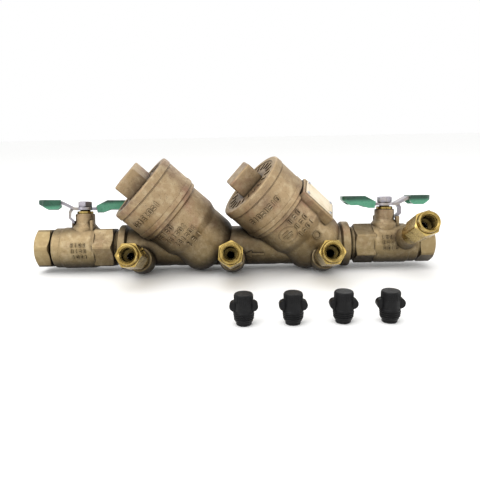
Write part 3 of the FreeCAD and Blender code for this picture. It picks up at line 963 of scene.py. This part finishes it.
@dataclass
class CheckSpring:
    """Coil spring of one check."""

    name: str
    along_pipe: float
    coil_r: float = 11.2
    wire_r: float = 0.9
    low: float = 20.3
    high: float = 70.9
    turns: int = 7
    travel: float = 9.0

    def build(self, finisher: Finisher) -> None:
        """Winds the spring in place of the frame's own spring.

        Args:
            finisher: What finishes the pieces.
        """
        place = check_place(self.along_pipe)
        made = self.coil(place)
        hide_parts(self.name + "_spring")
        finisher.add(made, Slot.STAINLESS, "device")
        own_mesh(made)

    def coil(self, place: Matrix) -> bpy.types.Object:
        """Sweeps the round wire along its helix.

        Args:
            place: The check's frame.

        Returns:
            The coil as one closed mesh.
        """
        steps_a_turn, across = 32, 12
        steps = self.turns * steps_a_turn
        rise = (self.high - self.low - 2 * self.wire_r) / steps
        points: list[Vector] = []
        for i in range(steps + 1):
            angle = 2 * math.pi * i / steps_a_turn
            height = self.low + self.wire_r + rise * i
            for j in range(across):
                b = 2 * math.pi * j / across
                r = self.coil_r + self.wire_r * math.cos(b)
                rise_here = height + self.wire_r * math.sin(b)
                spot = Vector((r * math.cos(angle), r * math.sin(angle), rise_here))
                points.append(place @ (spot * MM))
        last = tuple(range(steps * across, (steps + 1) * across))
        faces: list[tuple] = [tuple(range(across))[::-1], last]
        for i in range(steps):
            for j in range(across):
                k = (j + 1) % across
                here, after = i * across, (i + 1) * across
                faces.append((here + j, after + j, after + k, here + k))
        return piece(self.name + "_coil", points, faces)


@dataclass
class CastingDressing:
    """Mould seam, foundry marks and a plain ring on the casting."""

    seam_half: float = 0.35
    seam_width: float = 1.1
    seam_round: float = 0.25
    ring_spot: tuple[float, float] = (16.5, -64.0)
    ring_sunk: float = 2.2
    ring_size: tuple[float, float] = (3.2, 0.35)
    runs: tuple[tuple[float, float], ...] = ((-93.0, -62.0), (-18.0, 34.0), (86.0, 93.0))

    def build(self, finisher: Finisher) -> None:
        """Adds the seam under the necks, marks on them and a ring by check 1.

        Args:
            finisher: What finishes the pieces.
        """
        beads = []
        for start, end in self.runs:
            at = BODY_PLACE @ move((start + end) / 2, 0, -NECK_R)
            beads.append((at, (end - start, self.seam_width, 2 * self.seam_half)))
        made = blocks("casting_seam", beads, self.seam_round)
        finisher.add(made, Slot.CASTING, "device")
        neck = BODY_PLACE @ turn("Y", 90)
        marks = foundry_row(neck, NECK_R, 34.0, [94.0, 110.0], [Mark.TWIN, Mark.DOTS])
        shapes = [Mark.BAR, Mark.DOTS, Mark.BAR]
        marks += foundry_row(neck, NECK_R, -88.0, [-92.0, -76.0, -60.0], shapes)
        finisher.add(blocks("neck_marks", marks, MARK_ROUND), Slot.CASTING, "device")
        spot = wrapped(check_place(CHECK1_ALONG), CHAMBER_R - self.ring_sunk, *self.ring_spot)
        made = ring("casting_date_ring", spot, *self.ring_size)
        finisher.add(made, Slot.CASTING, "device")


@dataclass
class ValveDressing:
    """Pipe threads and foundry marks of one ball valve."""

    name: str
    roll: float
    yaw: float
    bulk: float = 0.0
    pitch: float = 1.814
    threaded: float = 15.0
    depth: float = 0.95
    taper: float = -0.01
    sealed_along: float = 101.9
    sealed_length: float = 2.9
    sealed_depth: float = 0.7
    marks_along: float = 129.0
    marks_apart: float = 3.6
    marks_shift: float = 0.6
    marks_in_row: int = 4
    marks_lean: tuple[float, ...] = (-24.0, -8.0, 8.0)

    def place(self) -> Matrix:
        """The valve's frame: X outwards along the pipe, Z along its stem."""
        return move(0, PIPE_BACK, PIPE_HEIGHT) @ turn("X", self.roll) @ turn("Z", self.yaw)

    def build(self, finisher: Finisher) -> None:
        """Adds the female thread, the joint's sealed turns and the raised marks.

        Args:
            finisher: What finishes the pieces.
        """
        position, axis = mount(self.name + "_thread")
        mouth = pointing(position, -axis)
        female = Thread(
            PIPE_BORE_R, self.pitch, self.threaded, self.depth, Side.INSIDE, self.taper
        )
        made = female.ridge(self.name + "_pipe_thread", mouth)
        finisher.add(made, Slot.MACHINED, "device")
        nipple = self.place() @ move(self.sealed_along) @ turn("Y", 90)
        sealed = Thread(
            SHOULDER_R, self.pitch, self.sealed_length, self.sealed_depth, Side.OUTSIDE
        )
        made = sealed.ridge(self.name + "_sealed_turns", nipple)
        finisher.add(made, Slot.MACHINED, "device")
        made = blocks(self.name + "_valve_marks", self.marks(), MARK_ROUND)
        finisher.add(made, Slot.CASTING, "device")

    def marks(self) -> list[Block]:
        """Rows of raised marks along the front of the barrel.

        Returns:
            Frames and sizes for blocks().
        """
        barrel = self.place() @ turn("Y", 90)
        front = -90.0 if self.yaw == 0 else 90.0
        found = []
        for row, lean in enumerate(self.marks_lean):
            for i in range(self.marks_in_row):
                shape = list(Mark)[(row + 2 * i) % len(Mark)]
                along = self.marks_along + self.marks_apart * i + self.marks_shift * row
                spot = wrapped(barrel, BARREL_R + self.bulk, along, front + lean)
                found += raised(spot @ turn("Z", 90), shape)
        return found


@dataclass
class CockDressing:
    """Threaded mouth of one test cock."""

    number: int
    pitch: float = 1.411
    threaded: float = 9.4
    depth: float = 0.62
    taper: float = -0.01

    def build(self, finisher: Finisher) -> None:
        """Adds the female thread in the mouth.

        Args:
            finisher: What finishes the pieces.
        """
        name = "testcock%d" % self.number
        position, axis = mount(name + "_port")
        female = Thread(
            COCK_BORE_R, self.pitch, self.threaded, self.depth, Side.INSIDE, self.taper
        )
        made = female.ridge(name + "_thread", pointing(position + axis * MM, -axis))
        finisher.add(made, Slot.BRASS, "device")


@dataclass
class PlugDressing:
    """Thread, ribs and top ring of one loose plug."""

    number: int
    thread: Thread = Thread(5.93, 1.411, 5.6, 0.5, Side.OUTSIDE, 0.11)
    thread_low: float = 3.2
    ribs: int = 30
    rib_place: tuple[float, float] = (6.05, 17.6)
    rib_size: tuple[float, float, float] = (0.55, 4.6, 0.5)
    rib_round: float = 0.12
    ring_sunk: float = 0.32
    ring_size: tuple[float, float] = (3.9, 0.3)

    def build(self, finisher: Finisher) -> None:
        """Adds the thread on the tapered end, ribs round the head and a ring on its top.

        Args:
            finisher: What finishes the pieces.
        """
        name = "plug_%d" % self.number
        low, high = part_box(name)
        centre = Vector(((low[0] + high[0]) / 2, (low[1] + high[1]) / 2, low[2]))
        stand = Matrix.Translation(centre)
        body = name + "_body"
        made = self.thread.ridge(name + "_thread", stand @ move(z=self.thread_low))
        finisher.add(made, Slot.PLUG, body)
        ribs = []
        for i in range(self.ribs):
            angle = 360.0 * i / self.ribs
            ribs.append((wrapped(stand, *self.rib_place, angle), self.rib_size))
        finisher.add(blocks(name + "_ribs", ribs, self.rib_round), Slot.PLUG, body)
        top = stand @ move(z=PLUG_HEIGHT - self.ring_sunk)
        finisher.add(ring(name + "_top_ring", top, *self.ring_size), Slot.PLUG, body)


@dataclass
class PlateDressing:
    """Pressed border on the blank nameplate."""

    turned: float = -12.0
    width: float = 21.0
    low: float = 17.0
    high: float = 47.8
    face: float = 34.15
    inset: float = 3.0
    line: float = 0.5
    rise: float = 0.3
    line_round: float = 0.08

    def build(self, finisher: Finisher) -> None:
        """Adds the raised border line.

        Args:
            finisher: What finishes the pieces.
        """
        place = check_place(CHECK1_ALONG) @ turn("Z", self.turned)
        half = self.width / 2 - self.inset
        middle = (self.low + self.high) / 2
        tall = self.high - self.low - 2 * self.inset
        bars = []
        for y in (-half, half):
            bars.append((place @ move(self.face, y, middle), (self.rise, self.line, tall)))
        for z in (self.low + self.inset, self.high - self.inset):
            bars.append((place @ move(self.face, 0, z), (self.rise, 2 * half, self.line)))
        made = blocks("nameplate_border", bars, self.line_round)
        finisher.add(made, Slot.PLATE, "device")


@dataclass(frozen=True)
class Lamp:
    """A square area lamp, with its place and aim in metres."""

    name: str
    spot: tuple[float, float, float]
    aim: tuple[float, float, float]
    size: float
    watts: float

    def build(self) -> None:
        """Adds the lamp."""
        data = bpy.data.lights.new(self.name, "AREA")
        data.size = self.size
        data.energy = self.watts
        made = bpy.data.objects.new(self.name, data)
        spot = Vector(self.spot)
        made.matrix_world = pointing(spot, spot - Vector(self.aim))
        bpy.context.scene.collection.objects.link(made)


LAMPS = (
    Lamp("lamp over", (-0.25, -0.15, 0.95), (0.0, 0.05, 0.03), 1.1, 5.0),
    Lamp("lamp front left", (-0.75, -0.85, 0.6), (0.0, 0.05, 0.04), 0.5, 2.6),
    Lamp("lamp right", (0.95, -0.25, 0.35), (0.05, 0.05, 0.04), 0.4, 1.6),
    Lamp("lamp behind", (0.1, 0.95, 0.7), (0.0, 0.05, 0.03), 0.7, 1.8),
)


@dataclass
class Studio:
    """Pale floor, soft lamps and the camera."""

    eye: tuple[float, float, float] = (10.6, -365.9, 124.2)
    heading: float = -0.741
    tip: float = 13.208
    bank: float = -1.097
    lens: float = 36.0
    sensor: float = 36.0
    near: float = 0.01
    floor_reach: float = 6.0

    def build(self) -> None:
        """Adds the floor, the lamps, the sky and the camera."""
        self.floor()
        self.sky()
        for lamp in LAMPS:
            lamp.build()
        self.camera()

    def floor(self) -> None:
        """Adds a wide flat floor at the foot of the part."""
        low = CAD_BOX[0][2]
        reach = self.floor_reach
        square = ((-reach, -reach), (reach, -reach), (reach, reach), (-reach, reach))
        corners = [Vector((x, y, low)) for x, y in square]
        made = piece("floor", corners, [(0, 1, 2, 3)], smooth=False)
        made.data.materials.append(PALE_SWEEP.material())

    def sky(self) -> None:
        """Sets an even white sky."""
        world = bpy.data.worlds.new("white room")
        bpy.context.scene.world = world
        world.use_nodes = True
        light = world.node_tree.nodes["Background"].inputs
        light["Color"].default_value = linear("#ffffff")
        light["Strength"].default_value = 1.0

    def camera(self) -> None:
        """Places the camera."""
        heading, tip, bank = (math.radians(a) for a in (self.heading, self.tip, self.bank))
        flat = math.cos(tip)
        ahead = Vector((math.sin(heading) * flat, math.cos(heading) * flat, -math.sin(tip)))
        right = ahead.cross(Vector((0, 0, 1))).normalized()
        over = right.cross(ahead)
        across = right * math.cos(bank) + over * math.sin(bank)
        upright = over * math.cos(bank) - right * math.sin(bank)
        data = bpy.data.cameras.new("camera")
        data.lens = self.lens
        data.sensor_width = self.sensor
        data.clip_start = self.near
        made = bpy.data.objects.new("camera", data)
        facing = Matrix((across, upright, -ahead)).transposed().to_4x4()
        made.matrix_world = Matrix.Translation(Vector(self.eye) * MM) @ facing
        bpy.context.scene.collection.objects.link(made)
        bpy.context.scene.camera = made


def main() -> None:
    """Dresses the frame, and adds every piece."""
    logging.basicConfig(level=logging.INFO, format="%(name)s: %(message)s")
    finisher = Finisher()
    finisher.dress_frame()
    parts = [
        CheckDressing(
            "check1",
            CHECK1_ALONG,
            [Mark.STACK, Mark.BAR, Mark.FRAME, Mark.PAIR, Mark.TWIN],
            (-118.0, -66.0, 8),
            [(43.0, -78.0, -58.0, 3), (36.0, -76.0, -56.0, 3), (29.0, -82.0, -54.0, 4)],
            badge=Badge(),
        ),
        CheckDressing(
            "check2",
            CHECK2_ALONG,
            [Mark.FRAME, Mark.PAIR, Mark.BAR, Mark.STACK, Mark.DOTS],
            (-124.0, -72.0, 8),
            [
                (43.5, -122.0, -88.0, 5),
                (36.5, -112.0, -72.0, 6),
                (29.5, -104.0, -64.0, 6),
                (22.0, -90.0, -66.0, 3),
            ],
        ),
        CheckSpring("check1", CHECK1_ALONG),
        CheckSpring("check2", CHECK2_ALONG),
        CastingDressing(),
        ValveDressing("inlet", -7.0, 0.0),
        ValveDressing("outlet", -12.0, 180.0, bulk=1.1),
        PlateDressing(),
    ]
    parts += [CockDressing(number) for number in range(1, 5)]
    parts += [PlugDressing(number) for number in range(1, 5)]
    for part in parts:
        part.build(finisher)
    Studio().build()
    bpy.context.scene.view_settings.view_transform = "Standard"


if __name__ == "__main__":
    main()
